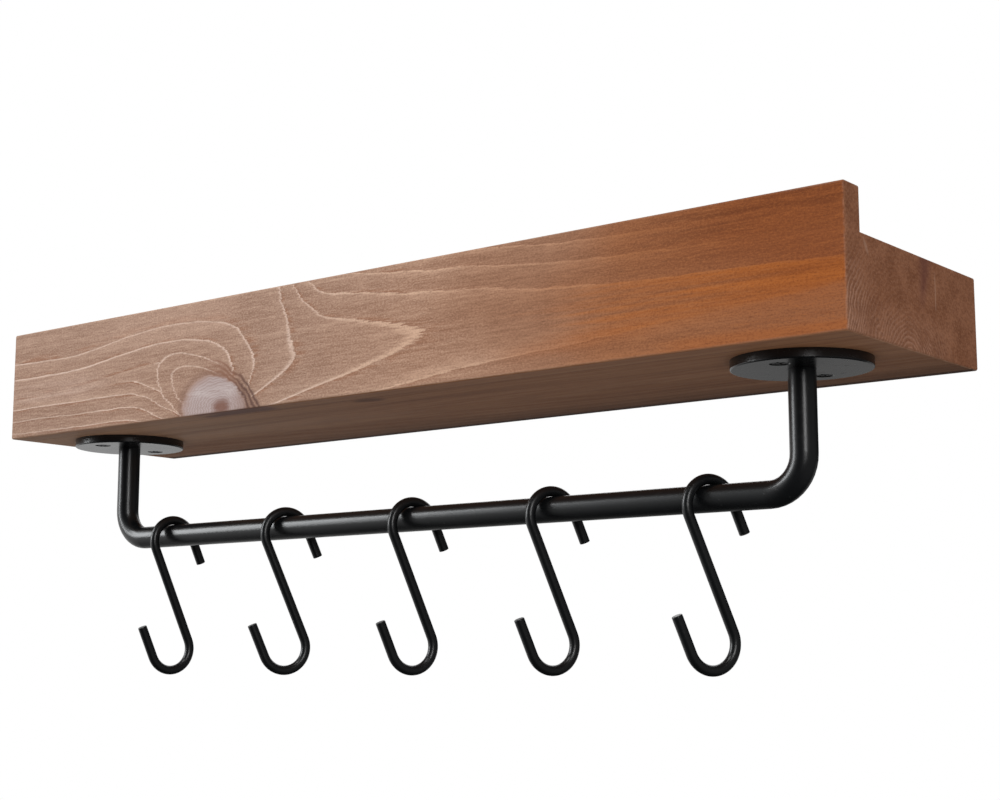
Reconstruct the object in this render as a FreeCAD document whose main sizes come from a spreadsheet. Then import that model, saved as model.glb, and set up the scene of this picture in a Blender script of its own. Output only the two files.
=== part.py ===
"""Wall shelf with a front lip, a round steel rail on two flanges and five loose S-hooks.

Frame: millimetres, +Z up, +X to the right seen from the front, +Y into the wall.
Origin: on the wall plane, half-way between the two keyholes that the shelf hangs by, at the height of
their entry holes. The front of the shelf is at negative Y.
"""
import FreeCAD, Part
import math
import os

import Sketcher

DRIVING_SIZES = {
    # the two boards
    "shelf_length": 610.0,
    "shelf_depth": 140.0,
    "board_thickness": 48.0,
    "lip_height": 69.5,
    "lip_thickness": 14.0,
    "edge_round": 1.2,
    # the bent tube
    "tube_diameter": 14.0,
    "tube_wall": 1.5,
    "rail_spacing": 502.5,
    "rail_setback": 55.0,
    "rail_drop": 64.8,
    "bend_radius": 19.0,
    # the round plates on its ends
    "flange_diameter": 70.0,
    "flange_thickness": 5.0,
    "flange_rim_round": 0.8,
    "socket_depth": 1.0,
    "flange_screw_pitch": 44.0,
    "flange_hole": 5.4,
    "flange_sink": 10.4,
    # their wood screws
    "big_screw_head": 9.6,
    "big_screw_shank": 5.0,
    "big_screw_length": 30.0,
    "big_screw_recess": 0.4,
    # the S-hooks
    "hook_wire": 5.6,
    "hook_radius": 13.6,
    "hook_shank": 62.3,
    "hook_tail": 20.5,
    "hook_end_round": 0.5,
    "hook_play": 0.1,
    # the keyhole plates in the back edge
    "keyhole_spacing": 406.4,
    "keyhole_height": 20.0,
    "keyhole_entry": 9.0,
    "keyhole_slot": 4.8,
    "keyhole_rise": 9.0,
    "plate_width": 16.0,
    "plate_length": 38.0,
    "plate_thickness": 1.6,
    "plate_centre": 4.0,
    "plate_screw_pitch": 29.0,
    "plate_hole": 3.3,
    "plate_sink": 6.4,
    "head_pocket_width": 11.0,
    "head_pocket_depth": 11.0,
    # their screws
    "small_screw_head": 5.8,
    "small_screw_shank": 3.0,
    "small_screw_length": 14.0,
    "small_screw_recess": 0.2,
}

SHEET = "dims"
COUNTERSINK_ANGLE = 90.0
PILOT_CLEARANCE = 0.1
PILOT_DEPTH_SPARE = 2.0
TOUCHING = 1e-3

# Proportions of a wood screw: its point in shank diameters, its cross recess in head diameters.
POINT_LENGTH = 1.1
RECESS_ARM = 0.29
RECESS_HALF_SLOT = 0.06
RECESS_DEPTH = 0.2

# Each hook's place along the rail, and its turn about the vertical, as the loose hooks hang.
HOOK_PLACES = (
    ("s_hook_1", -205.0, -11.0),
    ("s_hook_2", -102.5, -24.0),
    ("s_hook_3", -0.3, -19.0),
    ("s_hook_4", 98.8, -22.0),
    ("s_hook_5", 197.6, -24.5),
)


def make_sheet(document):
    """The spreadsheet of driving dimensions; every sketch and feature reads it by expression."""
    sheet = document.addObject("Spreadsheet::Sheet", SHEET)
    for row, (name, value) in enumerate(DRIVING_SIZES.items(), start=1):
        sheet.set(f"A{row}", name)
        sheet.set(f"B{row}", str(value))
        sheet.setAlias(f"B{row}", name)
    document.recompute()
    return sheet


def expression(text):
    """Turn plain sheet names in an expression into references to the sheet's cells."""
    for name in sorted(DRIVING_SIZES, key=len, reverse=True):
        text = text.replace(f"[{name}]", f"<<{SHEET}>>.{name}")
    return text


def bind(thing, target, text):
    thing.setExpression(target, expression(text))


def new_body(document, label):
    body = document.addObject("PartDesign::Body", label)
    body.Label = label
    return body


def origin_feature(body, role):
    return next(item for item in body.Origin.OriginFeatures if item.Role == role)


def new_sketch(body, name, role, offset=None):
    """A sketch on one of the body's origin planes, raised along its normal by an expression."""
    sketch = body.newObject("Sketcher::SketchObject", name)
    sketch.AttachmentSupport = [(origin_feature(body, role), "")]
    sketch.MapMode = "FlatFace"
    if offset:
        bind(sketch, "AttachmentOffset.Base.z", offset)
    return sketch


ORIGIN_POINT = (-1, 1)
START, END, CENTRE = 1, 2, 3


def dimension(sketch, kind, references, value, text):
    """One driving constraint, bound to the sheet."""
    index = sketch.addConstraint(Sketcher.Constraint(kind, *references, value))
    bind(sketch, f"Constraints[{index}]", text)


def place_point(sketch, geometry, point, across, up):
    """Hold a sketch point at signed distances from the origin; each is (value, expression of its size)."""
    for kind, (value, text) in (("DistanceX", across), ("DistanceY", up)):
        here = (geometry, point)
        if near(value, 0):
            pair = ORIGIN_POINT + here
            sketch.addConstraint(Sketcher.Constraint(kind, *pair, 0.0))
        else:
            pair = ORIGIN_POINT + here if value > 0 else here + ORIGIN_POINT
            dimension(sketch, kind, pair, abs(value), text)


def add_circle(sketch, across, up, diameter):
    """A circle whose centre and diameter are (value, expression) pairs."""
    centre = FreeCAD.Vector(across[0], up[0], 0)
    index = sketch.addGeometry(Part.Circle(centre, FreeCAD.Vector(0, 0, 1), diameter[0] / 2), False)
    place_point(sketch, index, CENTRE, across, up)
    dimension(sketch, "Diameter", (index,), diameter[0], diameter[1])


def add_polygon(sketch, corners):
    """A closed polygon through corners, each ((x, expression), (y, expression))."""
    points = [FreeCAD.Vector(across[0], up[0], 0) for across, up in corners]
    first = sketch.GeometryCount
    for number, point in enumerate(points):
        following = points[(number + 1) % len(points)]
        sketch.addGeometry(Part.LineSegment(point, following), False)
    for number in range(len(points)):
        following = (number + 1) % len(points)
        sketch.addConstraint(Sketcher.Constraint("Coincident", first + number, END, first + following, START))
    for number, (across, up) in enumerate(corners):
        place_point(sketch, first + number, START, across, up)


def add_obround(sketch, across, low, high, width):
    """An upright slot outline: half-circle ends at heights low and high, and straight sides."""
    radius = width[0] / 2
    x = across[0]
    upright = FreeCAD.Vector(0, 0, 1)
    bottom = Part.Circle(FreeCAD.Vector(x, low[0], 0), upright, radius)
    top = Part.Circle(FreeCAD.Vector(x, high[0], 0), upright, radius)
    first = sketch.addGeometry(
        [
            Part.ArcOfCircle(bottom, math.pi, 2 * math.pi),
            Part.LineSegment(FreeCAD.Vector(x + radius, low[0], 0), FreeCAD.Vector(x + radius, high[0], 0)),
            Part.ArcOfCircle(top, 0, math.pi),
            Part.LineSegment(FreeCAD.Vector(x - radius, high[0], 0), FreeCAD.Vector(x - radius, low[0], 0)),
        ],
        False,
    )[0]
    for number in range(4):
        following = first + (number + 1) % 4
        sketch.addConstraint(Sketcher.Constraint("Tangent", first + number, END, following, START))
    place_point(sketch, first, CENTRE, across, low)
    place_point(sketch, first + 2, CENTRE, across, high)
    dimension(sketch, "Diameter", (first,), width[0], width[1])


def size(name):
    """A driving size as (value, expression)."""
    return DRIVING_SIZES[name], f"[{name}]"


def half(name):
    return DRIVING_SIZES[name] / 2, f"[{name}] / 2"


def minus(pair):
    return -pair[0], pair[1]


ZERO = (0.0, "0")


def pad(body, sketch, name, length, reverse=False):
    feature = body.newObject("PartDesign::Pad", name)
    feature.Profile = sketch
    feature.Reversed = reverse
    bind(feature, "Length", length)


def pocket(body, sketch, name, depth, reverse=False):
    """A blind cut of a stated depth; it must take something away from the body."""
    body.Document.recompute()
    before = body.Shape.Volume
    feature = body.newObject("PartDesign::Pocket", name)
    feature.Profile = sketch
    feature.Reversed = reverse
    bind(feature, "Length", depth)
    body.Document.recompute()
    if near(body.Shape.Volume, before):
        raise RuntimeError(f"{name} cuts nothing")
    return feature


def mirror(body, originals, name):
    """Repeat features on the other side of the body's YZ plane."""
    feature = body.newObject("PartDesign::Mirrored", name)
    feature.Originals = originals
    feature.MirrorPlane = (origin_feature(body, "YZ_Plane"), [""])
    body.Tip = feature
    body.Document.recompute()


def edges_where(shape, wanted):
    """Names of the edges for which wanted(edge's bound box) is true."""
    return [f"Edge{number}" for number, edge in enumerate(shape.Edges, start=1) if wanted(edge.BoundBox)]


def fillet(body, name, radius, wanted):
    body.Document.recompute()
    base = body.Tip
    names = edges_where(base.Shape, wanted)
    if not names:
        raise RuntimeError(f"{name} finds no edge")
    feature = body.newObject("PartDesign::Fillet", name)
    feature.Base = (base, names)
    bind(feature, "Radius", radius)
    body.Document.recompute()


def near(value, target):
    return abs(value - target) < TOUCHING


def make_shelf_board(document):
    """The thick board. Its own origin is the middle of its back edge at the underside."""
    body = new_body(document, "shelf_board")
    half_length = half("shelf_length")
    depth = DRIVING_SIZES["shelf_depth"] - DRIVING_SIZES["lip_thickness"]
    front = (-depth, "[shelf_depth] - [lip_thickness]")
    outline = new_sketch(body, "board_outline", "XY_Plane")
    add_polygon(
        outline,
        [
            (minus(half_length), front),
            (half_length, front),
            (half_length, ZERO),
            (minus(half_length), ZERO),
        ],
    )
    pad(body, outline, "board_pad", "[board_thickness]")
    cuts = [pilot_holes(body), plate_recess(body), head_pocket(body), plate_pilot_holes(body)]
    mirror(body, cuts, "board_left_side")
    round_shelf_board(body, half_length[0], depth)
    bind(body, "Placement.Base.z", "-[keyhole_height]")
    return body


def pilot_holes(body):
    """Blind holes in the underside for the right flange's two screws."""
    rail_y = DRIVING_SIZES["rail_setback"] - DRIVING_SIZES["shelf_depth"]
    pitch = DRIVING_SIZES["flange_screw_pitch"]
    hole = (
        DRIVING_SIZES["big_screw_shank"] + PILOT_CLEARANCE,
        f"[big_screw_shank] + {PILOT_CLEARANCE}",
    )
    sketch = new_sketch(body, "pilot_outline", "XY_Plane")
    for side, sign in ((-1, "+"), (1, "-")):
        up = (rail_y + side * pitch / 2, f"[shelf_depth] - [rail_setback] {sign} [flange_screw_pitch] / 2")
        add_circle(sketch, half("rail_spacing"), up, hole)
    depth = f"[big_screw_length] - [flange_thickness] + {PILOT_DEPTH_SPARE}"
    return pocket(body, sketch, "pilot_cut", depth, reverse=True)


def keyhole_heights():
    """Heights above the underside of the keyhole's entry, its seat and the plate's middle."""
    entry = size("keyhole_height")
    seat = (entry[0] + DRIVING_SIZES["keyhole_rise"], "[keyhole_height] + [keyhole_rise]")
    middle = (entry[0] + DRIVING_SIZES["plate_centre"], "[keyhole_height] + [plate_centre]")
    return entry, seat, middle


def plate_recess(body):
    """Shallow seat in the back edge that takes the right keyhole plate flush."""
    middle = keyhole_heights()[2]
    reach = (DRIVING_SIZES["plate_length"] - DRIVING_SIZES["plate_width"]) / 2
    reach_text = "([plate_length] - [plate_width]) / 2"
    sketch = new_sketch(body, "recess_outline", "XZ_Plane")
    add_obround(
        sketch,
        half("keyhole_spacing"),
        (middle[0] - reach, f"{middle[1]} - {reach_text}"),
        (middle[0] + reach, f"{middle[1]} + {reach_text}"),
        size("plate_width"),
    )
    return pocket(body, sketch, "recess_cut", "[plate_thickness]", reverse=True)


def head_pocket(body):
    """Deeper slot behind the plate, where the wall screw's head goes."""
    entry, seat, _ = keyhole_heights()
    sketch = new_sketch(body, "head_outline", "XZ_Plane")
    add_obround(sketch, half("keyhole_spacing"), entry, seat, size("head_pocket_width"))
    return pocket(body, sketch, "head_cut", "[plate_thickness] + [head_pocket_depth]", reverse=True)


def plate_pilot_holes(body):
    """Blind holes for the two screws that hold the right keyhole plate."""
    middle = keyhole_heights()[2]
    pitch = DRIVING_SIZES["plate_screw_pitch"] / 2
    hole = (
        DRIVING_SIZES["small_screw_shank"] + PILOT_CLEARANCE,
        f"[small_screw_shank] + {PILOT_CLEARANCE}",
    )
    sketch = new_sketch(body, "plate_pilot_outline", "XZ_Plane")
    for side, sign in ((-1, "-"), (1, "+")):
        up = (middle[0] + side * pitch, f"{middle[1]} {sign} [plate_screw_pitch] / 2")
        add_circle(sketch, half("keyhole_spacing"), up, hole)
    depth = f"[small_screw_length] + {PILOT_DEPTH_SPARE}"
    return pocket(body, sketch, "plate_pilot_cut", depth, reverse=True)


def round_shelf_board(body, half_length, depth):
    """Ease every edge but those of the glued front face."""

    def exposed(box):
        at_end = near(box.XLength, 0) and near(abs(box.XMin), half_length) and not near(box.YMax, -depth)
        along_rear = near(box.XLength, 2 * half_length) and near(box.YMin, 0)
        return at_end or along_rear

    fillet(body, "eased_edges", "[edge_round]", exposed)


def make_front_board(document):
    """The tall thin board glued on the front, whose top stands above the shelf as a lip."""
    body = new_body(document, "front_board")
    half_length = half("shelf_length")
    outline = new_sketch(body, "front_outline", "XY_Plane")
    thickness = size("lip_thickness")
    add_polygon(
        outline,
        [
            (minus(half_length), minus(thickness)),
            (half_length, minus(thickness)),
            (half_length, ZERO),
            (minus(half_length), ZERO),
        ],
    )
    pad(body, outline, "front_pad", "[lip_height]")
    height = DRIVING_SIZES["lip_height"]

    def exposed(box):
        at_end = near(box.XLength, 0) and near(abs(box.XMin), half_length[0]) and not near(box.YMin, 0)
        along = near(box.XLength, 2 * half_length[0])
        return at_end or along and (near(box.YMin, -thickness[0]) or near(box.ZMin, height))

    fillet(body, "eased_edges", "[edge_round]", exposed)
    bind(body, "Placement.Base.y", "[lip_thickness] - [shelf_depth]")
    bind(body, "Placement.Base.z", "-[keyhole_height]")
    return body


def add_path(sketch, pieces):
    """Chain (curve, first end, last end) pieces, tangent where they meet; returns each piece's index."""
    indexes = [sketch.addGeometry(curve, False) for curve, _, _ in pieces]
    for number in range(len(pieces) - 1):
        last_end = pieces[number][2]
        first_end = pieces[number + 1][1]
        joint = (indexes[number], last_end, indexes[number + 1], first_end)
        sketch.addConstraint(Sketcher.Constraint("Tangent", *joint))
    return indexes


def line_between(first, last):
    """A straight piece of a path in the sketch plane."""
    return Part.LineSegment(FreeCAD.Vector(*first, 0), FreeCAD.Vector(*last, 0)), START, END


def arc_through(first, middle, last):
    """A curved piece of a path; a sketch stores its arcs anticlockwise, so a clockwise one runs end first."""
    first_run = FreeCAD.Vector(middle[0] - first[0], middle[1] - first[1], 0)
    last_run = FreeCAD.Vector(last[0] - middle[0], last[1] - middle[1], 0)
    arc = Part.Arc(*(FreeCAD.Vector(*point, 0) for point in (first, middle, last)))
    if first_run.cross(last_run).z > 0:
        return arc, START, END
    return arc, END, START


def sweep(body, profile, path, name):
    feature = body.newObject("PartDesign::AdditivePipe", name)
    feature.Profile = profile
    feature.Spine = path
    body.Document.recompute()


def make_rail_tube(document):
    """The bent tube: down from one flange, along, and up to the other. Its origin is over its middle."""
    body = new_body(document, "rail_tube")
    reach = DRIVING_SIZES["rail_spacing"] / 2
    drop = DRIVING_SIZES["rail_drop"]
    radius = DRIVING_SIZES["bend_radius"]
    top_gap = DRIVING_SIZES["flange_thickness"] - DRIVING_SIZES["socket_depth"]
    top = -top_gap
    bend = radius * (1 - math.sqrt(0.5))
    path = new_sketch(body, "tube_path", "XZ_Plane")
    left_leg, _, rail, _, right_leg = add_path(
        path,
        [
            line_between((-reach, top), (-reach, radius - drop)),
            arc_through((-reach, radius - drop), (-reach + bend, bend - drop), (radius - reach, -drop)),
            line_between((radius - reach, -drop), (reach - radius, -drop)),
            arc_through((reach - radius, -drop), (reach - bend, bend - drop), (reach, radius - drop)),
            line_between((reach, radius - drop), (reach, top)),
        ],
    )
    path.addConstraint(Sketcher.Constraint("Vertical", left_leg))
    path.addConstraint(Sketcher.Constraint("Vertical", right_leg))
    path.addConstraint(Sketcher.Constraint("Horizontal", rail))
    path.addConstraint(Sketcher.Constraint("Equal", left_leg + 1, rail + 1))
    dimension(path, "Radius", (left_leg + 1,), radius, "[bend_radius]")
    top_up = (top, "[flange_thickness] - [socket_depth]")
    place_point(path, left_leg, START, minus(half("rail_spacing")), top_up)
    place_point(path, right_leg, END, half("rail_spacing"), top_up)
    dimension(path, "DistanceY", (rail, START) + ORIGIN_POINT, drop, "[rail_drop]")

    profile = new_sketch(body, "tube_section", "XY_Plane", "-([flange_thickness] - [socket_depth])")
    left = minus(half("rail_spacing"))
    bore = DRIVING_SIZES["tube_diameter"] - 2 * DRIVING_SIZES["tube_wall"]
    add_circle(profile, left, ZERO, size("tube_diameter"))
    add_circle(profile, left, ZERO, (bore, "[tube_diameter] - 2 * [tube_wall]"))
    sweep(body, profile, path, "tube_sweep")
    bind(body, "Placement.Base.y", "[rail_setback] - [shelf_depth]")
    bind(body, "Placement.Base.z", "-[keyhole_height]")
    return body


def make_flange(document, label, side):
    """A round plate under the shelf: shallow socket for the tube's end and two countersunk holes."""
    body = new_body(document, label)
    rim = new_sketch(body, "flange_outline", "XY_Plane")
    add_circle(rim, ZERO, ZERO, size("flange_diameter"))
    pad(body, rim, "flange_pad", "[flange_thickness]", reverse=True)

    socket = new_sketch(body, "socket_outline", "XY_Plane", "-[flange_thickness]")
    add_circle(socket, ZERO, ZERO, size("tube_diameter"))
    pocket(body, socket, "socket_cut", "[socket_depth]", reverse=True)

    holes = new_sketch(body, "hole_centres", "XY_Plane", "-[flange_thickness]")
    for sign in (-1, 1):
        centre = (sign * DRIVING_SIZES["flange_screw_pitch"] / 2, "[flange_screw_pitch] / 2")
        add_circle(holes, ZERO, centre, size("flange_hole"))
    countersunk_holes(body, holes, "screw_holes", "[flange_hole]", "[flange_sink]", reverse=True)

    radius = DRIVING_SIZES["flange_diameter"] / 2
    bottom = -DRIVING_SIZES["flange_thickness"]

    def lower_rim(box):
        return near(box.ZMax, bottom) and near(box.YMax, radius)

    fillet(body, "rim_round", "[flange_rim_round]", lower_rim)
    bind(body, "Placement.Base.x", f"{side} * [rail_spacing] / 2")
    bind(body, "Placement.Base.y", "[rail_setback] - [shelf_depth]")
    bind(body, "Placement.Base.z", "-[keyhole_height]")
    return body


def countersunk_holes(body, sketch, name, diameter, sink, reverse):
    """Countersunk through holes at the sketch's circles; they must take something away."""
    body.Document.recompute()
    before = body.Shape.Volume
    feature = body.newObject("PartDesign::Hole", name)
    feature.Profile = sketch
    feature.Reversed = reverse
    feature.DepthType = "ThroughAll"
    feature.ThreadType = "None"
    bind(feature, "Diameter", diameter)
    body.Document.recompute()
    feature.HoleCutType = "Countersink"
    feature.HoleCutCustomValues = True
    feature.HoleCutCountersinkAngle = COUNTERSINK_ANGLE
    bind(feature, "HoleCutDiameter", sink)
    body.Document.recompute()
    if near(body.Shape.Volume, before):
        raise RuntimeError(f"{name} cuts nothing")


def make_screws(document, label, prefix, spacing_across, spacing_up):
    """Four countersunk wood screws, heads down at the origin plane, in a two-way pattern."""
    body = new_body(document, label)
    head = DRIVING_SIZES[f"{prefix}_head"] / 2
    shank = DRIVING_SIZES[f"{prefix}_shank"] / 2
    length = DRIVING_SIZES[f"{prefix}_length"]
    recess = DRIVING_SIZES[f"{prefix}_recess"]
    point = POINT_LENGTH * 2 * shank
    end = length - recess
    head_size = (head, f"[{prefix}_head] / 2")
    shank_size = (shank, f"[{prefix}_shank] / 2")
    neck = (recess + head - shank, f"[{prefix}_recess] + ([{prefix}_head] - [{prefix}_shank]) / 2")
    shoulder = (end - point, f"[{prefix}_length] - [{prefix}_recess] - {POINT_LENGTH} * [{prefix}_shank]")
    tip = (end, f"[{prefix}_length] - [{prefix}_recess]")
    section = new_sketch(body, "screw_section", "XZ_Plane")
    add_polygon(
        section,
        [
            (ZERO, (recess, f"[{prefix}_recess]")),
            (head_size, (recess, f"[{prefix}_recess]")),
            (shank_size, neck),
            (shank_size, shoulder),
            (ZERO, tip),
        ],
    )
    turned = body.newObject("PartDesign::Revolution", "screw_turned")
    turned.Profile = section
    turned.ReferenceAxis = (section, ["V_Axis"])
    turned.Angle = 360.0
    drive = cross_recess(body, prefix)
    rows = body.newObject("PartDesign::LinearPattern", "screw_rows")
    rows.Originals = [turned, drive]
    rows.Direction = (origin_feature(body, "X_Axis"), [""])
    rows.Occurrences = 2
    bind(rows, "Length", spacing_across)
    rows.Direction2 = (origin_feature(body, "Y_Axis"), [""])
    rows.Occurrences2 = 2
    bind(rows, "Length2", spacing_up)
    body.Tip = rows
    document.recompute()
    if len(body.Shape.Solids) != rows.Occurrences * rows.Occurrences2:
        raise RuntimeError(f"{label} has {len(body.Shape.Solids)} screws")
    return body


def cross_recess(body, prefix):
    """The cross-shaped driver recess in a screw's head."""
    arm = RECESS_ARM * DRIVING_SIZES[f"{prefix}_head"]
    slot = RECESS_HALF_SLOT * DRIVING_SIZES[f"{prefix}_head"]
    quarter = [(arm, slot), (slot, slot), (slot, arm)]
    corners = [*quarter]
    for _ in range(3):
        quarter = [(-y, x) for x, y in quarter]
        corners += quarter
    texts = {arm: f"{RECESS_ARM} * [{prefix}_head]", slot: f"{RECESS_HALF_SLOT} * [{prefix}_head]"}
    sketch = new_sketch(body, "drive_outline", "XY_Plane", f"[{prefix}_recess]")
    add_polygon(sketch, [((x, texts[abs(x)]), (y, texts[abs(y)])) for x, y in corners])
    return pocket(body, sketch, "drive_cut", f"{RECESS_DEPTH} * [{prefix}_head]", reverse=True)


def make_flange_screws(document):
    body = make_screws(document, "flange_screws", "big_screw", "[rail_spacing]", "[flange_screw_pitch]")
    bind(body, "Placement.Base.x", "-[rail_spacing] / 2")
    bind(body, "Placement.Base.y", "[rail_setback] - [shelf_depth] - [flange_screw_pitch] / 2")
    bind(body, "Placement.Base.z", "-[keyhole_height] - [flange_thickness]")
    return body


def make_hanger_plate(document, label, side):
    """A keyhole plate: rounded steel strip with the keyhole and two countersunk holes."""
    body = new_body(document, label)
    reach = (DRIVING_SIZES["plate_length"] - DRIVING_SIZES["plate_width"]) / 2
    middle = DRIVING_SIZES["plate_centre"]
    outline = new_sketch(body, "plate_outline", "XZ_Plane")
    add_obround(
        outline,
        ZERO,
        (middle - reach, "([plate_length] - [plate_width]) / 2 - [plate_centre]"),
        (middle + reach, "([plate_length] - [plate_width]) / 2 + [plate_centre]"),
        size("plate_width"),
    )
    pad(body, outline, "plate_pad", "[plate_thickness]")

    entry = new_sketch(body, "entry_outline", "XZ_Plane")
    add_circle(entry, ZERO, ZERO, size("keyhole_entry"))
    pocket(body, entry, "entry_cut", "2 * [plate_thickness]", reverse=True)
    slot = new_sketch(body, "slot_outline", "XZ_Plane")
    add_obround(slot, ZERO, ZERO, size("keyhole_rise"), size("keyhole_slot"))
    pocket(body, slot, "slot_cut", "2 * [plate_thickness]", reverse=True)

    holes = new_sketch(body, "plate_hole_centres", "XZ_Plane")
    for sign in (-1, 1):
        up = middle + sign * DRIVING_SIZES["plate_screw_pitch"] / 2
        text = "[plate_screw_pitch] / 2 " + ("+ [plate_centre]" if sign > 0 else "- [plate_centre]")
        add_circle(holes, ZERO, (up, text), size("plate_hole"))
    countersunk_holes(body, holes, "plate_holes", "[plate_hole]", "[plate_sink]", reverse=True)
    bind(body, "Placement.Base.x", f"{side} * [keyhole_spacing] / 2")
    return body


def make_hanger_screws(document):
    body = make_screws(document, "hanger_screws", "small_screw", "[keyhole_spacing]", "[plate_screw_pitch]")
    body.Placement.Rotation = FreeCAD.Rotation(FreeCAD.Vector(1, 0, 0), 90)
    bind(body, "Placement.Base.x", "-[keyhole_spacing] / 2")
    bind(body, "Placement.Base.z", "[plate_centre] - [plate_screw_pitch] / 2")
    return body


def hanging_tilt():
    """Angle of the shank from the vertical. Both tails are equal, so the hook's centre of mass is the
    middle of the shank, and it comes to rest straight below the middle of the upper loop."""
    return math.degrees(math.atan2(DRIVING_SIZES["hook_radius"], DRIVING_SIZES["hook_shank"] / 2))


def make_hook(document, label, along_rail, turn):
    """One S-hook of round wire. Its own origin is the middle of its upper loop, with the shank upright."""
    body = new_body(document, label)
    radius = DRIVING_SIZES["hook_radius"]
    shank = DRIVING_SIZES["hook_shank"]
    tail = DRIVING_SIZES["hook_tail"]
    path = new_sketch(body, "wire_path", "YZ_Plane")
    rear_tail, loop, upright, bowl, front_tail = add_path(
        path,
        [
            line_between((radius, -tail), (radius, 0)),
            arc_through((radius, 0), (0, radius), (-radius, 0)),
            line_between((-radius, 0), (-radius, -shank)),
            arc_through((-radius, -shank), (-2 * radius, -shank - radius), (-3 * radius, -shank)),
            line_between((-3 * radius, -shank), (-3 * radius, tail - shank)),
        ],
    )
    for straight in (rear_tail, upright, front_tail):
        path.addConstraint(Sketcher.Constraint("Vertical", straight))
    place_point(path, loop, CENTRE, ZERO, ZERO)
    dimension(path, "Radius", (loop,), radius, "[hook_radius]")
    path.addConstraint(Sketcher.Constraint("Equal", loop, bowl))
    dimension(path, "DistanceY", (upright, END, upright, START), shank, "[hook_shank]")
    dimension(path, "DistanceY", (rear_tail, START, rear_tail, END), tail, "[hook_tail]")
    dimension(path, "DistanceY", (front_tail, START, front_tail, END), tail, "[hook_tail]")

    section = new_sketch(body, "wire_section", "XY_Plane", "-[hook_tail]")
    add_circle(section, ZERO, size("hook_radius"), size("hook_wire"))
    sweep(body, section, path, "wire_sweep")
    wire = DRIVING_SIZES["hook_wire"]

    def cut_ends(box):
        flat = near(box.ZLength, 0) and near(box.XLength, wire)
        return flat and (near(box.ZMin, -tail) or near(box.ZMin, tail - shank))

    fillet(body, "ease_ends", "[hook_end_round]", cut_ends)
    lean = FreeCAD.Rotation(FreeCAD.Vector(1, 0, 0), hanging_tilt())
    yaw = FreeCAD.Rotation(FreeCAD.Vector(0, 0, 1), turn)
    body.Placement = FreeCAD.Placement(FreeCAD.Vector(along_rail, 0, 0), yaw.multiply(lean))
    bind(body, "Placement.Base.y", "[rail_setback] - [shelf_depth]")
    below_rail = "([hook_radius] - [hook_wire] / 2 - [tube_diameter] / 2 - [hook_play])"
    bind(body, "Placement.Base.z", f"-[keyhole_height] - [rail_drop] - {below_rail}")
    return body


def check(document, bodies):
    """Stop if any object failed to recompute or any sub-part is not a sound shape."""
    for item in document.Objects:
        if "Invalid" in item.State or "Error" in item.State:
            raise RuntimeError(f"{item.Name} failed: {item.State}")
    for body in bodies:
        if body.Shape.isNull() or not body.Shape.isValid():
            raise RuntimeError(f"{body.Label} has no valid shape")


def main():
    document = FreeCAD.newDocument("wall_shelf")
    make_sheet(document)
    bodies = [
        make_shelf_board(document),
        make_front_board(document),
        make_rail_tube(document),
        make_flange(document, "flange_left", -1),
        make_flange(document, "flange_right", 1),
        make_flange_screws(document),
        make_hanger_plate(document, "hanger_plate_left", -1),
        make_hanger_plate(document, "hanger_plate_right", 1),
        make_hanger_screws(document),
    ]
    bodies += [make_hook(document, *place) for place in HOOK_PLACES]
    document.recompute()
    check(document, bodies)
    os.makedirs("parts", exist_ok=True)
    for body in bodies:
        body.Shape.exportStep(os.path.join("parts", f"{body.Label}.step"))
        box = body.Shape.BoundBox
        print(
            f"{body.Label}: {len(body.Shape.Solids)} solid(s), {body.Shape.Volume:.0f} mm3,"
            f" x {box.XMin:.1f}..{box.XMax:.1f}, y {box.YMin:.1f}..{box.YMax:.1f},"
            f" z {box.ZMin:.1f}..{box.ZMax:.1f}"
        )


main()
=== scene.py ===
"""Looks for the wall shelf with a hook rail: stained pine, black powder-coated steel, zinc-plated plates."""
import bmesh
import bpy
import math
from mathutils import Matrix, Vector


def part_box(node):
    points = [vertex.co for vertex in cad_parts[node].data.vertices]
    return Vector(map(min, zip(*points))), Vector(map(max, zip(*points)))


MM = 1000.0                 # millimetres in a metre

WOOD_RELIEF = 0.00016       # depth in metres of the boards' brushed grain
WOOD_GLOSS = 0.08           # specular level of the stained pine

# the stretches over which the front board changes its tone, in mm from its left end, and its tones
# before, between and after them; the paler, greyer tones at the left end are partly stain, partly painted
# sheen
TONE_AND_SHEEN_CHANGES = ((250, 360), (350, 440), (430, 510), (500, 590))
EARLY_WOOD = (
    (0.330, 0.196, 0.136), (0.335, 0.184, 0.118), (0.285, 0.138, 0.079), (0.285, 0.109, 0.047),
    (0.245, 0.075, 0.024))
PALE_FIBRE = (
    (0.620, 0.425, 0.315), (0.605, 0.388, 0.268), (0.450, 0.236, 0.138), (0.410, 0.166, 0.066),
    (0.350, 0.112, 0.032))
BROWN_FIBRE = (
    (0.220, 0.116, 0.073), (0.220, 0.108, 0.064), (0.185, 0.081, 0.042), (0.170, 0.058, 0.023),
    (0.150, 0.040, 0.013))

FLOOR_HEIGHT = -1.5
CAMERA_PLACE = (0.6618, -0.8358, -0.1679)
CAMERA_AZIMUTH = math.radians(38.57)
CAMERA_CLIMB = math.radians(8.64)
CAMERA_LENS = 63.17         # mm, on a sensor 36 mm wide
CAMERA_SENSOR = 36.0


# ---------------------------------------------------------------- node arithmetic

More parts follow.
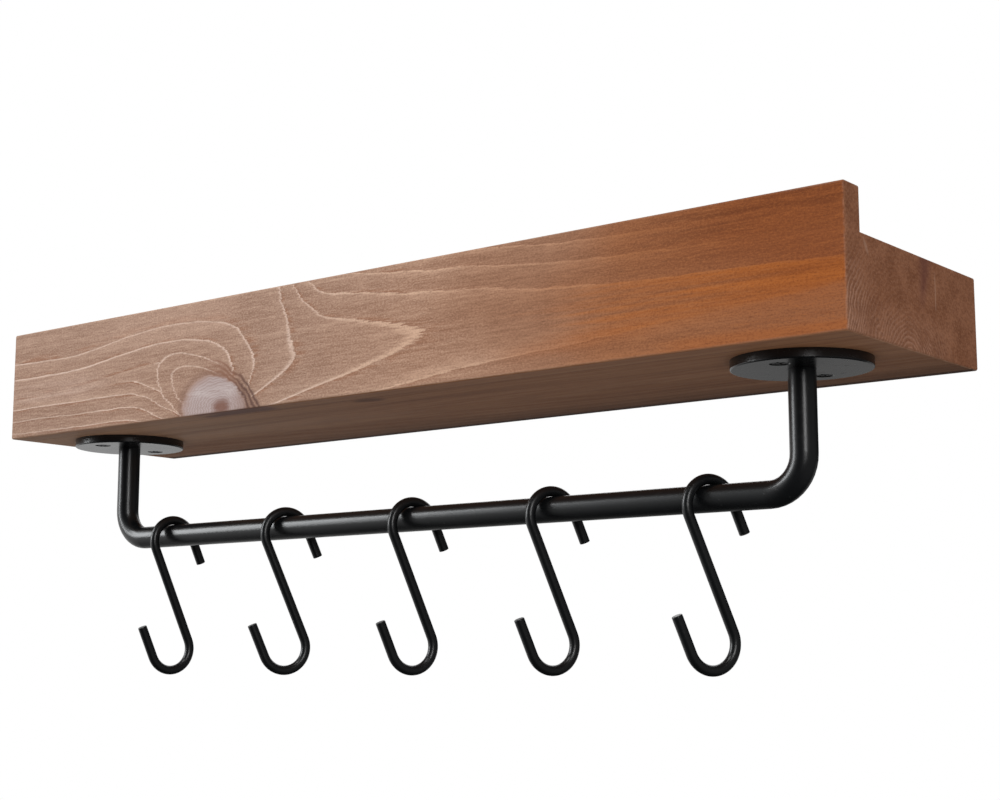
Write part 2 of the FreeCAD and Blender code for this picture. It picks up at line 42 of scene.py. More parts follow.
class Value:
    """A number, colour or vector carried by a node socket. Arithmetic on it adds Math nodes to its tree."""

    def __init__(self, tree, socket):
        self.tree, self.socket = tree, socket

    def math(self, operation, *others):
        return math_node(self.tree, operation, self, *others)

    def __add__(self, other):
        return self.math("ADD", other)

    def __radd__(self, other):
        return math_node(self.tree, "ADD", other, self)

    def __sub__(self, other):
        return self.math("SUBTRACT", other)

    def __rsub__(self, other):
        return math_node(self.tree, "SUBTRACT", other, self)

    def __mul__(self, other):
        return self.math("MULTIPLY", other)

    def __rmul__(self, other):
        return math_node(self.tree, "MULTIPLY", other, self)

    def __truediv__(self, other):
        return self.math("DIVIDE", other)

    def __abs__(self):
        return self.math("ABSOLUTE")

    def power(self, exponent):
        return self.math("POWER", exponent)

    def least(self, other):
        return self.math("MINIMUM", other)

    def most(self, other):
        return self.math("MAXIMUM", other)

    def fraction(self):
        return self.math("FRACT")

    def step(self, start, end):
        """Smooth step: 0 at start, 1 at end; start may be the larger."""
        node = self.tree.nodes.new("ShaderNodeMapRange")
        node.interpolation_type = "SMOOTHSTEP"
        low, high, first, last = (start, end, 0.0, 1.0) if start < end else (end, start, 1.0, 0.0)
        for name, number in (("From Min", low), ("From Max", high), ("To Min", first), ("To Max", last)):
            node.inputs[name].default_value = number
        plug(self.tree, self, node.inputs["Value"])
        return Value(self.tree, node.outputs["Result"])

    def bell(self, centre, width):
        """1 at centre, falling smoothly to 0 at width on both sides."""
        return abs(self - centre).step(width, 0.0)


def plug(tree, value, socket):
    """Link a Value, or set a plain number or colour, on an input socket."""
    if isinstance(value, Value):
        tree.links.new(value.socket, socket)
    elif isinstance(value, (tuple, list)) and len(socket.default_value) == 4 and len(value) == 3:
        socket.default_value = (*value, 1.0)
    else:
        socket.default_value = value


def math_node(tree, operation, *values):
    node = tree.nodes.new("ShaderNodeMath")
    node.operation = operation
    for value, socket in zip(values, node.inputs):
        plug(tree, value, socket)
    return Value(tree, node.outputs[0])


def distance(a, b):
    """The length of a vector with these two parts."""
    return (a * a + b * b).math("SQRT")


def blend_colour(tree, factor, first, second):
    """First colour at factor 0, second at 1."""
    node = tree.nodes.new("ShaderNodeMix")
    node.data_type = "RGBA"
    node.clamp_factor = True
    sockets = {s.identifier: s for s in node.inputs}
    plug(tree, factor, sockets["Factor_Float"])
    plug(tree, first, sockets["A_Color"])
    plug(tree, second, sockets["B_Color"])
    return Value(tree, next(s for s in node.outputs if s.identifier == "Result_Color"))


class Surface:
    """One Principled material under construction, with helpers for places and patterns in metres."""

    def __init__(self, name):
        self.material = bpy.data.materials.new(name)
        self.material.use_nodes = True
        self.tree = self.material.node_tree
        self.shader = self.tree.nodes["Principled BSDF"]
        coordinates = self.tree.nodes.new("ShaderNodeTexCoord")
        self.place = Value(self.tree, coordinates.outputs["Object"])
        self.x, self.y, self.z = self.parts(self.place)
        self.facing_x, _, self.facing_z = self.parts(Value(self.tree, coordinates.outputs["Normal"]))

    def parts(self, vector):
        """A vector's x, y and z."""
        node = self.tree.nodes.new("ShaderNodeSeparateXYZ")
        plug(self.tree, vector, node.inputs[0])
        return tuple(Value(self.tree, output) for output in node.outputs)

    def noise(self, scale, detail=2.0, rough=0.5, offset=0.0):
        """Noise in 0..1 round 0.5. scale is one number, or cycles per metre along x, y and z."""
        if isinstance(scale, (int, float)):
            scale = (scale,) * 3
        mapping = self.tree.nodes.new("ShaderNodeMapping")
        plug(self.tree, self.place, mapping.inputs["Vector"])
        mapping.inputs["Scale"].default_value = scale
        mapping.inputs["Location"].default_value = (offset,) * 3
        node = self.tree.nodes.new("ShaderNodeTexNoise")
        node.inputs["Scale"].default_value = 1.0
        node.inputs["Detail"].default_value = detail
        node.inputs["Roughness"].default_value = rough
        self.tree.links.new(mapping.outputs[0], node.inputs["Vector"])
        return Value(self.tree, node.outputs["Fac"])

    def cells(self, scale):
        """Distance from the middle of the nearest of scattered cells, scale of them in a metre."""
        node = self.tree.nodes.new("ShaderNodeTexVoronoi")
        node.inputs["Scale"].default_value = scale
        plug(self.tree, self.place, node.inputs["Vector"])
        return Value(self.tree, node.outputs["Distance"])

    def mix(self, factor, first, second):
        return blend_colour(self.tree, factor, first, second)

    def vary(self, colour, pattern, light_gain, light, dark_gain, dark):
        """Draw a colour towards light where the pattern is over a half, and towards dark where under."""
        colour = self.mix((pattern - 0.5) * light_gain, colour, light)
        return self.mix((0.5 - pattern) * dark_gain, colour, dark)

    def finish(self, colour, roughness, height, depth, **fixed):
        """Wire colour, roughness and a bump of the given depth in metres; fixed sets other sockets."""
        plug(self.tree, colour, self.shader.inputs["Base Color"])
        plug(self.tree, roughness, self.shader.inputs["Roughness"])
        bump = self.tree.nodes.new("ShaderNodeBump")
        bump.inputs["Strength"].default_value = 1.0
        bump.inputs["Distance"].default_value = depth
        plug(self.tree, height, bump.inputs["Height"])
        self.tree.links.new(bump.outputs[0], self.shader.inputs["Normal"])
        for name, value in fixed.items():
            plug(self.tree, value, self.shader.inputs[name.replace("_", " ")])
        return self.material


# ---------------------------------------------------------------- pine, shared by both boards

def board_millimetres(surface, box):
    """How far a point lies from a board's left end, underside and front face, in mm."""
    low = box[0]
    return (surface.x - low.x) * MM, (surface.z - low.z) * MM, (surface.y - low.y) * MM


def edge_distance(surface, box):
    """Distance in mm from a point on a box's surface to the box's nearest edge."""
    low, high = box
    gaps = []
    for value, start, end in zip((surface.x, surface.y, surface.z), low, high):
        half, middle = (end - start) / 2, (end + start) / 2
        gaps.append((half - abs(value - middle)) * MM)
    a, b, c = gaps
    return a.least(b).most(a.most(b).least(c))


def worn_and_highlit_edges(surface, box):
    """1 in patches along a box's edges that are painted paler, partly as wear and partly as a painted
    highlight on the rounded edge, 0 elsewhere.
    """
    patches = surface.noise((30, 200, 200), detail=3).step(0.3, 0.6)
    return edge_distance(surface, box).step(1.5, 0.3) * patches


def ellipse(u, v, centre, tilt, radii):
    """Relative distance from the centre of a tilted ellipse: 1 on the ellipse."""
    c, s = math.cos(math.radians(tilt)), math.sin(math.radians(tilt))
    du, dv = u - centre[0], v - centre[1]
    return distance((du * c + dv * s) / radii[0], (dv * c - du * s) / radii[1])


def late_wood(rings, start, full, end):
    """The late part of each growth ring: it comes in from start to full and stops at end."""
    phase = rings.fraction()
    return phase.step(start, full) * phase.step(1.0, end)


def fibres(surface):
    """Fine streaks along the board, coarse ones under them, sparse dark dashes, and grit."""
    fine = surface.noise((70, 800, 800), detail=4, rough=0.8)
    broad = surface.noise((6, 190, 190), detail=3, rough=0.6)
    dashes = surface.noise((160, 2600, 2600), detail=1, offset=3.0).step(0.66, 0.76)
    grit = surface.noise((700, 1100, 1100), detail=3, rough=0.8, offset=21.0)
    return fine, broad, dashes, grit


def end_grain(surface, v, depth):
    """Colour and pores of the sawn ends. v is mm above the underside, depth mm behind the front face."""
    sway = surface.noise((10, 45, 45), detail=3, offset=14.0) - 0.5
    pores = surface.noise((900, 900, 900), detail=3, rough=0.7, offset=15.0)
    cloud = surface.noise((40, 70, 90), detail=3, offset=16.0)
    strokes = surface.noise((60, 260, 900), detail=2, offset=17.0)
    colour = surface.mix(cloud.step(0.3, 0.7), (0.160, 0.061, 0.029), (0.218, 0.091, 0.047))

    # the rings lie round a pith below the board, and show best low down at the front
    pith_depth, pith_drop, ring_width = 62, 10, 2.5
    reach = distance(depth - pith_depth + sway * 16, v + pith_drop + sway * 12)
    late = late_wood(reach / ring_width + cloud * 2.0, 0.35, 0.85, 0.9)
    low_front = depth.step(34, 4) * v.step(44, 10)
    low_middle = v.step(22, 2) * depth.step(118, 80)
    faint = surface.noise((90, 120, 120), detail=2, offset=22.0).step(0.25, 0.55)
    colour = surface.mix(low_front * 0.30, colour, (0.27, 0.132, 0.082))
    colour = surface.mix(low_middle * 0.3, colour, (0.21, 0.105, 0.068))
    shown = 0.07 + 0.75 * low_front.most(low_middle * 0.6) * faint
    colour = surface.mix(late * shown, colour, (0.36, 0.20, 0.135))
    colour = surface.vary(colour, pores, 2.0, (0.31, 0.15, 0.085), 2.2, (0.08, 0.026, 0.012))
    colour = surface.vary(colour, strokes, 1.4, (0.25, 0.105, 0.052), 1.2, (0.10, 0.034, 0.016))

    # a spike knot that runs down from the top edge and widens upwards
    off = (depth - 71.5 - v * 0.23 + sway * 5) / (4.5 + (v - 20).most(0.0) * 0.26)
    spike = off.bell(0.0, 1.0) * v.step(18, 36)
    colour = surface.mix(spike * 0.62, colour, (0.095, 0.032, 0.026))

    # a thin pale check beside it, and a nick just behind the lip
    check = (depth - 92.5 + sway * 3).bell(0.0, 0.9) * v.step(22, 27) * v.step(44, 38)
    nick = ellipse(depth, v, (19.5, 42.0), -58, (4.5, 1.3)).step(1.3, 0.4)
    return surface.mix((check * 0.5).most(nick * 0.4), colour, (0.33, 0.20, 0.14)), pores


def underside(surface, u, depth, fine):
    """Colour of both boards' undersides. u is mm from the left end, depth mm behind the front face."""
    sway = surface.noise((5, 14, 14), detail=2, offset=23.0) - 0.5
    fray = surface.noise((30, 500, 500), detail=2, offset=26.0) - 0.5
    streak = surface.noise((4, 75, 75), detail=3, offset=25.0)
    late = late_wood(distance((u - 520) / 9, depth - 72 + sway * 26) / 8 + fray * 0.5, 0.1, 0.75, 0.8)
    colour = surface.mix((depth + sway * 50).step(112, 50), (0.205, 0.085, 0.037), (0.268, 0.122, 0.060))
    grey = (u + sway * 160).step(330, 130) * (depth + sway * 40).step(108, 52)
    colour = surface.mix(grey * 0.8, colour, (0.350, 0.215, 0.142))
    colour = surface.mix(late * 0.24, colour, (0.370, 0.190, 0.100))
    colour = surface.vary(colour, streak, 1.3, (0.430, 0.235, 0.135), 1.7, (0.140, 0.058, 0.030))
    colour = surface.vary(colour, fine, 1.5, (0.46, 0.26, 0.16), 1.8, (0.13, 0.056, 0.030))

    # the branch comes out under the front board, and a small knot lies behind it
    ragged = surface.noise((30, 160, 160), detail=3, offset=20.0)
    branch = u.step(172, 186) * u.step(246, 234) * depth.step(13.5, 10.5) * ragged.step(0.32, 0.5)
    colour = surface.mix(branch * 0.75, colour, (0.130, 0.066, 0.058))
    knot = ellipse(u + ragged * 8, depth + ragged * 4, (306, 22), 0, (13, 6.5)).step(1.1, 0.4)
    colour = surface.mix(knot * 0.65, colour, (0.105, 0.048, 0.034))

    # painted shade: it darkens towards the wall, and most in a painted dark line along its back edge
    shade = (depth + sway * 14).step(92, 134) * (0.12 + 0.30 * u.step(60, 240))
    back_edge_shade = depth.step(129, 134) * 0.85
    return surface.mix(shade.most(back_edge_shade), colour, (0.045, 0.020, 0.012))


def cover_underside(surface, colour, below):
    """Lay the underside's colour over the faces that look down."""
    return surface.mix(surface.facing_z.step(-0.5, -0.8), colour, below)


def finish_board(surface, colour, v, depth, grain, ridges, roughness, sawn_roughness):
    """Lay the sawn ends over a board's colour, and give it its relief and gloss."""
    fine, broad, dashes = grain
    sawn = abs(surface.facing_x).step(0.5, 0.8)
    ends, pores = end_grain(surface, v, depth)
    colour = surface.mix(sawn, colour, ends)
    height = fine * 0.5 + broad * 0.2 + ridges - dashes * 0.5
    height = height * (1 - sawn) + pores * sawn * 0.8
    roughness = roughness + (fine - 0.5) * 0.25 + sawn * sawn_roughness
    return surface.finish(colour, roughness, height, WOOD_RELIEF, Specular_IOR_Level=WOOD_GLOSS)


# ---------------------------------------------------------------- the front board

def front_rings(surface, u, v, w):
    """Growth rings of the front board. u, v, w are mm from its left end, underside and front face.

    From the left end the rings run flat above and below a ridge. At a third of the length they arch
    down over a branch; to its right they open into long flames. Returns the rings, and the relative
    distance from the branch.
    """
    sway = surface.noise((9, 25, 25), detail=1, offset=1.0) - 0.5
    ripple = surface.noise((40, 90, 90), detail=2, offset=5.0) - 0.5
    fray = surface.noise((60, 1000, 1000), detail=2, rough=0.6, offset=9.0) - 0.5
    u = u + ripple * 6 + fray * (5 + 26 * u.step(285, 350))
    v = v + sway * 4 + ripple * 2.2 + fray * 0.7

    # left of the branch and over it: arches above the ridge, flat rings below it
    squareness = 3.5
    right, up = (u - 150).most(0.0) / 1.75, (v - 12).most(0.0)
    arch = (right.power(squareness) + up.power(squareness)).power(1 / squareness) + 8 * u.step(150, 50)
    above = 3 + ((arch - 35.5) / 11.5).most((arch - 35.5) / 9.5) - 0.068 * (arch - 45).most(0.0)
    below = 3 + (18.6 - v - 20 * u.step(115, 180)) / 8.2
    left = above.math("SMOOTH_MAX", below, 0.3)

    # right of it: flames, each a ring line that opens further along the board than the one before
    along = ((u - 213).most(0.001) / 17).math("LOGARITHM", math.e) / 1.075 + 4
    opening = (along.most(2.35) - 2) * 9
    width = 9.2 - u.step(240, 440) * 2.4
    sag = 1.8 * u.step(270, 330) + 4.0 * u.step(370, 490) - 3.6 * u.step(530, 620)
    rise = v - 28.5 + sag * v.step(27, 42)
    flames = (distance(rise, opening) - opening) / width + opening / 9 + 2
    flames = flames - 2.1 * u.step(290, 236) * v.step(30, 70)

    side = (u + (28 - v) * 0.5).step(222, 240)
    rings = left * (1 - side) + flames * side + w * 0.4
    return rings, ellipse(u, v, (188, 12), -25, (48, 20))


def front_lines(surface, u, v, rings, around):
    """The front board's late wood, its ring lines, how far each line shows, and the rusty wood after it."""
    outside = around.step(0.99, 1.05)
    late = late_wood(rings, 0.35, 0.95, 0.99) * outside
    line = late_wood(rings, 0.88, 0.965, 0.99) * outside

    # no line runs along the ridge where the flat rings above and below meet
    ridge = (v - 29 - u.step(60, 140) * 6).bell(0.0, 9.0).step(0.0, 0.3) * u.step(147, 139)
    line = line * (1 - ridge)

    # two more lines wrap round the branch
    wrap = around.bell(1.0, 0.028).most(around.bell(0.7, 0.028) * 0.8) * u.step(214, 190)
    shown = line.most(wrap) * (0.45 + surface.noise((16, 90, 90), detail=2, offset=2.0))

    phase = rings.fraction()
    patches = surface.noise((55, 420, 420), detail=2, offset=11.0).step(0.42, 0.58) * u.step(420, 330)
    rust = phase.step(0.0, 0.02) * phase.step(0.22, 0.03) * outside * patches
    return late, line, shown, rust


def along_board(surface, u, colours):
    """A colour that changes along the board, from one of the colours to the next at each tone change. Its
    paler tones at the left are partly painted sheen.
    """
    colour = colours[0]
    for (start, end), following in zip(TONE_AND_SHEEN_CHANGES, colours[1:]):
        colour = surface.mix(u.step(start, end), colour, following)
    return colour


def front_bands(surface, colour, u, v, rings, streak):
    """Add the front board's broad bands of tone, from its left end to its right."""
    # a pale band from the left end, a pale crown above the branch, and a darker foot at the left
    band = (v - 29 + (streak - 0.5) * 8).bell(0.0, 13.0) * u.step(108, 60) * u.step(-40, 30)
    colour = surface.mix(band * (streak * 1.6 - 0.35), colour, (0.56, 0.400, 0.325))
    crown = v.step(40, 55) * u.step(60, 120) * u.step(225, 195)
    colour = surface.mix(crown * 0.36, colour, (0.56, 0.370, 0.275))
    left_foot = v.step(20, 14) * u.step(120, 30)
    colour = surface.mix(left_foot * 0.35, colour, (0.235, 0.135, 0.094))

    # brown stripes along the top of the right end
    stripes = surface.mix(streak.step(0.35, 0.65), (0.115, 0.027, 0.005), (0.240, 0.067, 0.015))
    colour = surface.mix(v.step(38, 64) * u.step(470, 560) * 0.82, colour, stripes)

    # an orange band inside one flame line, with brown above it and tan below
    inside, low = rings.step(7.03, 6.95), v.step(30, 26)
    warmth = (u + (streak - 0.5) * 220).step(430, 580)
    orange = surface.mix(streak.step(0.3, 0.7), (0.265, 0.070, 0.012), (0.395, 0.112, 0.019))
    colour = surface.mix(inside * warmth * 0.85, colour, orange)
    colour = surface.mix((1 - inside) * (1 - low) * warmth * 0.35, colour, (0.190, 0.056, 0.020))
    colour = surface.mix((1 - inside) * low * warmth * 0.6, colour, (0.300, 0.124, 0.058))

    # orange edges: the lower stretch of that flame line, and the foot of the right end
    tinge = rings.bell(6.95, 0.4) * v.step(27, 20) * u.step(395, 460)
    right_foot = (v + (streak - 0.5) * 3).step(7.5, 4.0) * u.step(500, 530)
    return surface.mix((tinge * 0.45).most(right_foot * 0.75), colour, (0.330, 0.103, 0.030))


def front_branch(surface, colour, u, v, w, fine):
    """Add the branch: pale grey wood with fine rings, a reddish heart, and a dark collar on its far side."""
    wobble = surface.noise(70, detail=3, offset=7.0) - 0.5
    ragged = surface.noise((120, 700, 700), detail=2, offset=19.0) - 0.5
    wavy_u, wavy_v = u + wobble * 8, v + wobble * 6
    torn_u, torn_v = wavy_u + ragged * 5, wavy_v + ragged * 1.3

    core = ellipse(torn_u, torn_v, (196, 3), -13, (28, 19.5))
    heart = ellipse(torn_u, torn_v, (202, 3), 0, (9, 5.5))
    year = (ellipse(torn_u, torn_v, (202, 2), -8, (2.3, 1.45)) + wobble * 2.0).fraction()
    knot = surface.mix(year.step(0.35, 0.9) * 0.5, (0.44, 0.345, 0.325), (0.27, 0.180, 0.158))
    knot = surface.mix(heart.step(1.25, 0.35) * 0.9, knot, (0.190, 0.083, 0.056))
    knot = surface.mix((torn_v - 13).bell(0.0, 6) * (fine - 0.35) * 2.2, knot, (0.58, 0.50, 0.48))
    knot = surface.mix((0.5 - fine) * 2.0, knot, (0.26, 0.18, 0.16))
    knot = surface.mix((torn_u - 212).step(-4, 12) * 0.55, knot, (0.27, 0.155, 0.115))
    left_rim = core.step(0.72, 1.0) * (torn_u - torn_v * 0.3).step(192, 176)
    knot = surface.mix(left_rim * 0.7, knot, (0.37, 0.235, 0.190))

    colour = surface.mix(core.bell(1.06, 0.15) * 0.5, colour, (0.20, 0.105, 0.075))
    around = ellipse(wavy_u, wavy_v, (189, 3), -20, (41, 25.5))
    collar = around.step(1.24, 1.14) * around.step(0.72, 0.84) * (u - v * 0.4).step(168, 200)
    stroke = (around * 10 + ragged * 0.5).fraction().bell(0.5, 0.5)
    bark = surface.mix((u - v * 0.5).step(196, 216), (0.235, 0.108, 0.068), (0.120, 0.060, 0.046))
    colour = surface.mix(collar * (0.2 + stroke * 0.75), colour, bark)
    return surface.mix(core.step(1.04, 0.90) * w.step(14, 2), colour, knot)


def pine_front(box):
    """The front board: greyish at the left round its branch, orange at the right; the grey is partly stain
    and partly painted sheen.
    """
    surface = Surface("pine_front")
    u, v, w = board_millimetres(surface, box)
    fine, broad, dashes, grit = fibres(surface)
    streak = surface.noise((12, 420, 420), detail=3, offset=18.0)
    rings, around = front_rings(surface, u, v, w)
    late, line, shown, rust = front_lines(surface, u, v, rings, around)
    drift = u + (surface.noise((10, 22, 22), detail=2, offset=12.0) - 0.5) * 90
    # painted sheen and stain: the tones along the board grow paler and greyer towards the left end
    early = along_board(surface, drift, EARLY_WOOD)
    pale = along_board(surface, drift, PALE_FIBRE)
    brown = along_board(surface, drift, BROWN_FIBRE)

    colour = surface.mix(late * (0.18 + 0.35 * u.step(320, 370) * u.step(510, 440)), early, pale)
    colour = surface.vary(colour, broad, 1.1, pale, 1.2, brown)
    colour = surface.vary(colour, streak, 0.9, pale, 1.3, brown)
    glint = surface.mix(u.step(235, 320), (0.690, 0.510, 0.415), pale)
    colour = surface.mix(shown, colour, glint)
    colour = surface.mix(rust * 0.75, colour, (0.27, 0.115, 0.06))
    colour = front_bands(surface, colour, u, v, rings, streak)
    colour = surface.vary(colour, fine, 2.6, pale, 3.0, brown)
    colour = surface.vary(colour, grit, 2.8, pale, 3.4, brown)
    colour = surface.mix(dashes * 0.25, colour, (0.12, 0.055, 0.035))
    colour = front_branch(surface, colour, u, v, w, fine)
    # wear and painted highlight: paler patches along the front board's edges
    colour = surface.mix(worn_and_highlit_edges(surface, box) * 0.22, colour, (0.50, 0.33, 0.24))
    colour = cover_underside(surface, colour, underside(surface, u, w, fine))
    return finish_board(surface, colour, v, w, (fine, broad, dashes), line * 0.08, 0.62 - late * 0.05, 0.12)


# ---------------------------------------------------------------- the shelf board

def pine_shelf(box, lip_depth):
    """The shelf board: plain brown pine. lip_depth is the thickness in mm of the front board before it."""
    surface = Surface("pine_shelf")
    u, v, w = board_millimetres(surface, box)
    depth = w + lip_depth
    fine, broad, dashes, grit = fibres(surface)
    sway = surface.noise((4, 12, 12), detail=2, offset=4.0) - 0.5
    fray = surface.noise((24, 700, 700), detail=2, offset=6.0) - 0.5
    rings = distance(w - 50 + sway * 40, v + 9 + sway * 30) / 5.2 + fray * 0.8 + u * 0.006
    late = late_wood(rings, 0.3, 0.92, 0.93)
    patch = surface.noise((6, 40, 40), detail=3, offset=8.0)
    long_streaks = surface.noise((2.5, 110, 110), detail=3, offset=13.0)

    colour = surface.mix(late * 0.45, (0.272, 0.116, 0.053), (0.352, 0.153, 0.071))
    colour = surface.mix(patch.step(0.35, 0.7) * 0.5, colour, (0.325, 0.130, 0.062))
    colour = surface.mix(long_streaks.step(0.54, 0.36) * 0.45, colour, (0.180, 0.080, 0.043))
    colour = surface.vary(colour, broad, 0.9, (0.40, 0.20, 0.11), 1.0, (0.14, 0.06, 0.033))
    colour = surface.vary(colour, fine, 1.8, (0.44, 0.24, 0.14), 2.2, (0.12, 0.052, 0.028))
    colour = surface.mix((0.5 - grit) * 1.2, colour, (0.12, 0.052, 0.028))
    colour = surface.mix(dashes * 0.18, colour, (0.08, 0.04, 0.028))
    colour = cover_underside(surface, colour, underside(surface, u, depth, fine))

    # the dark glue line behind the front board, and paler patches on the edges that are free of it, partly
    # wear and partly painted highlight
    colour = surface.mix(w.step(1.0, 0.1) * 0.7, colour, (0.06, 0.03, 0.02))
    colour = surface.mix(worn_and_highlit_edges(surface, box) * w.step(3, 5) * 0.35, colour, (0.45, 0.29, 0.2))
    return finish_board(surface, colour, v, depth, (fine, broad, dashes), late * 0.1, 0.66 - late * 0.05, 0.1)


# ---------------------------------------------------------------- metal

def powder_coat(name, tone, sheen, dust):
    """Black powder coat: fine orange peel, slight mottling, sparse pale dust and faint scuffs."""
    surface = Surface(name)
    peel = surface.noise(900, detail=1)
    cloud = surface.noise(45, detail=3, offset=2.0)
    speck = surface.noise(700, detail=1, offset=4.0).step(0.74, 0.80)
    scuff = surface.noise((160, 160, 500), detail=3, offset=6.0).step(0.64, 0.74)
    colour = surface.mix(cloud, tuple(0.75 * c for c in tone), tuple(1.35 * c for c in tone))
    colour = surface.mix(speck * dust, colour, (0.12, 0.12, 0.12))
    colour = surface.mix(scuff * dust * 0.35, colour, (0.03, 0.03, 0.03))
    roughness = sheen + (cloud - 0.5) * 0.04 + speck * 0.15 + scuff * 0.05
    return surface.finish(colour, roughness, peel, 0.000004, Specular_IOR_Level=0.5)


def zinc_plate():
    """Zinc plating: crystals of slightly different tone, drawn scratches and dull patches."""
    surface = Surface("zinc_plate")
    crystals = surface.cells(260).step(0.0, 0.9)
    scratch = surface.noise((90, 90, 1400), detail=2)
    dull = surface.noise(130, detail=3).step(0.6, 0.72)
    colour = surface.mix(crystals * 0.5 + scratch * 0.4, (0.55, 0.57, 0.58), (0.74, 0.75, 0.74))
    colour = surface.mix(dull * 0.4, colour, (0.42, 0.40, 0.36))
    roughness = 0.28 + crystals * 0.16 + (scratch - 0.5) * 0.15
    return surface.finish(colour, roughness, scratch, 0.00003, Metallic=1.0)


def dress(nodes):
    """Give every CAD node its finish."""
    front_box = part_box("front_board")
    lip_depth = (front_box[1].y - front_box[0].y) * MM
    flange = powder_coat("black_flange", (0.0060, 0.0064, 0.0070), 0.27, 0.2)
    hook = powder_coat("black_hook", (0.0045, 0.0050, 0.0056), 0.32, 0.1)
    zinc = zinc_plate()
    finishes = {
        "shelf_board": pine_shelf(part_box("shelf_board"), lip_depth),
        "front_board": pine_front(front_box),
        "rail_tube": powder_coat("black_rail", (0.0050, 0.0055, 0.0062), 0.30, 0.2),
        "flange_left": flange,
        "flange_right": flange,
        "flange_screws": powder_coat("black_screw", (0.0060, 0.0062, 0.0066), 0.38, 0.3),
        "hanger_plate_left": zinc,
        "hanger_plate_right": zinc,
        "hanger_screws": zinc,
    }
    for name, node in nodes.items():
        for slot in node.material_slots:
            slot.material = finishes.get(name, hook)


# ---------------------------------------------------------------- studio

def make_floor(height, half_size):
    """A pale painted floor, which glows a little so that it stays pale when seen from above."""
    surface = Surface("floor_paint")
    grain = surface.noise(90, detail=4)
    tone = surface.noise(1.3, detail=3, offset=1.0)
    colour = surface.mix(tone, (0.74, 0.74, 0.73), (0.80, 0.80, 0.79))
    surface.finish(colour, 0.7 + (grain - 0.5) * 0.1, grain, 0.0005,
                   Emission_Color=(0.80, 0.80, 0.79), Emission_Strength=0.45)
    mesh = bpy.data.meshes.new("floor")
    shape = bmesh.new()
    bmesh.ops.create_grid(shape, x_segments=8, y_segments=8, size=half_size)
    shape.to_mesh(mesh)
    shape.free()
    mesh.materials.append(surface.material)
    floor = bpy.data.objects.new("floor", mesh)
    floor.location = (0, 0, height)
    floor.visible_diffuse = floor.visible_glossy = False
    bpy.context.collection.objects.link(floor)


def make_world(backdrop, zenith, nadir, room, window, glow):
    """A white backdrop to the camera. Matt surfaces see a soft gradient from nadir to zenith.

    Gloss sees a dim room with a bright side towards the left, a faint glow low down behind, and a
    fainter one at the right.
    """
    world = bpy.data.worlds.new("studio")
    bpy.context.scene.world = world
    world.use_nodes = True
    tree = world.node_tree
    background = tree.nodes["Background"]
    path = tree.nodes.new("ShaderNodeLightPath")
    direction = tree.nodes.new("ShaderNodeTexCoord")
    split = tree.nodes.new("ShaderNodeSeparateXYZ")
    tree.links.new(direction.outputs["Generated"], split.inputs[0])
    across, behind, height = (Value(tree, output) for output in split.outputs)
    soft = blend_colour(tree, height.step(-0.5, 0.6), nadir, zenith)
    gloss = blend_colour(tree, across.step(-0.25, -0.95) * height.step(-0.9, -0.1), room, window)
    gloss = blend_colour(tree, behind.step(0.84, 0.90) * height.step(0.0, -0.12), gloss, glow)
    gloss = blend_colour(tree, across.step(0.45, 0.95) * 0.4, gloss, glow)
    lit = blend_colour(tree, Value(tree, path.outputs["Is Glossy Ray"]), soft, gloss)
    seen = blend_colour(tree, Value(tree, path.outputs["Is Camera Ray"]), lit, backdrop)
    plug(tree, seen, background.inputs["Color"])
    background.inputs["Strength"].default_value = 1.0


def aimed(place, direction):
    """The matrix of a light or camera at a place, looking along a direction."""
    return Matrix.Translation(place) @ direction.to_track_quat("-Z", "Y").to_matrix().to_4x4()


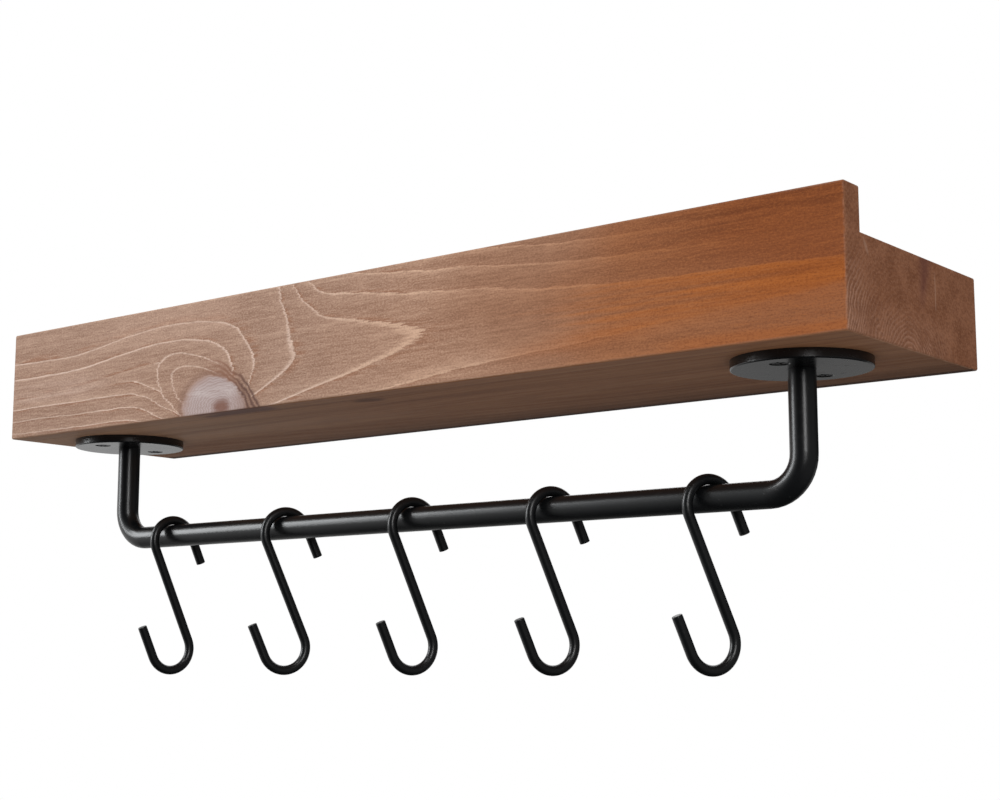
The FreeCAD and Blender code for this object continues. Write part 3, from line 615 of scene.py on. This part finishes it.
def soft_box(name, place, target, width, height, power, colour=(1.0, 1.0, 1.0), in_gloss=True):
    """A rectangular area light aimed at a point. in_gloss says whether glossy surfaces mirror it."""
    light = bpy.data.lights.new(name, "AREA")
    light.shape = "RECTANGLE"
    light.size, light.size_y = width, height
    light.energy, light.color = power, colour
    lamp = bpy.data.objects.new(name, light)
    lamp.matrix_world = aimed(place, Vector(target) - Vector(place))
    lamp.visible_glossy = in_gloss
    bpy.context.collection.objects.link(lamp)


def make_camera():
    """A camera to the right of the shelf and below it, looking up at it."""
    data = bpy.data.cameras.new("camera")
    data.lens, data.sensor_width = CAMERA_LENS, CAMERA_SENSOR
    camera = bpy.data.objects.new("camera", data)
    level, rise = math.cos(CAMERA_CLIMB), math.sin(CAMERA_CLIMB)
    facing = Vector((-math.sin(CAMERA_AZIMUTH) * level, math.cos(CAMERA_AZIMUTH) * level, rise))
    camera.matrix_world = aimed(CAMERA_PLACE, facing)
    bpy.context.collection.objects.link(camera)
    bpy.context.scene.camera = camera


def make_studio():
    """The floor, the world and five soft boxes."""
    make_floor(FLOOR_HEIGHT, half_size=6.0)
    make_world(backdrop=(1.0, 1.0, 1.0), zenith=(0.46, 0.47, 0.49), nadir=(0.46, 0.455, 0.45),
               room=(0.020, 0.021, 0.022), window=(0.93, 0.93, 0.93), glow=(0.36, 0.355, 0.35))
    soft_box("key", (-2.05, -1.52, 0.78), (-0.05, -0.12, -0.04), 0.7, 1.5, 36, (0.95, 0.98, 1.0))
    soft_box("front", (1.50, -1.45, 0.50), (0.05, -0.12, -0.02), 0.5, 1.0, 14)
    soft_box("top", (0.1, -1.2, 2.1), (0.0, -0.12, 0.0), 1.4, 0.8, 16)
    soft_box("back", (-0.7, 2.1, 1.5), (0.0, 0.0, -0.02), 2.4, 1.6, 18)
    soft_box("side", (2.3, 0.2, 0.3), (0.3, -0.07, 0.0), 1.0, 1.2, 9, in_gloss=False)
    bpy.context.scene.view_settings.view_transform = "Standard"


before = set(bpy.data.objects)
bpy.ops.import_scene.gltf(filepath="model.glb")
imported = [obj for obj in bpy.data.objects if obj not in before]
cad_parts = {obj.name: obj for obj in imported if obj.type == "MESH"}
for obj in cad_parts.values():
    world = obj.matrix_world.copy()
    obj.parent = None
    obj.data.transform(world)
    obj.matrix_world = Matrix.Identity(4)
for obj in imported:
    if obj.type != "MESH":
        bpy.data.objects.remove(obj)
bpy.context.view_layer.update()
dress(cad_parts)
make_studio()
make_camera()
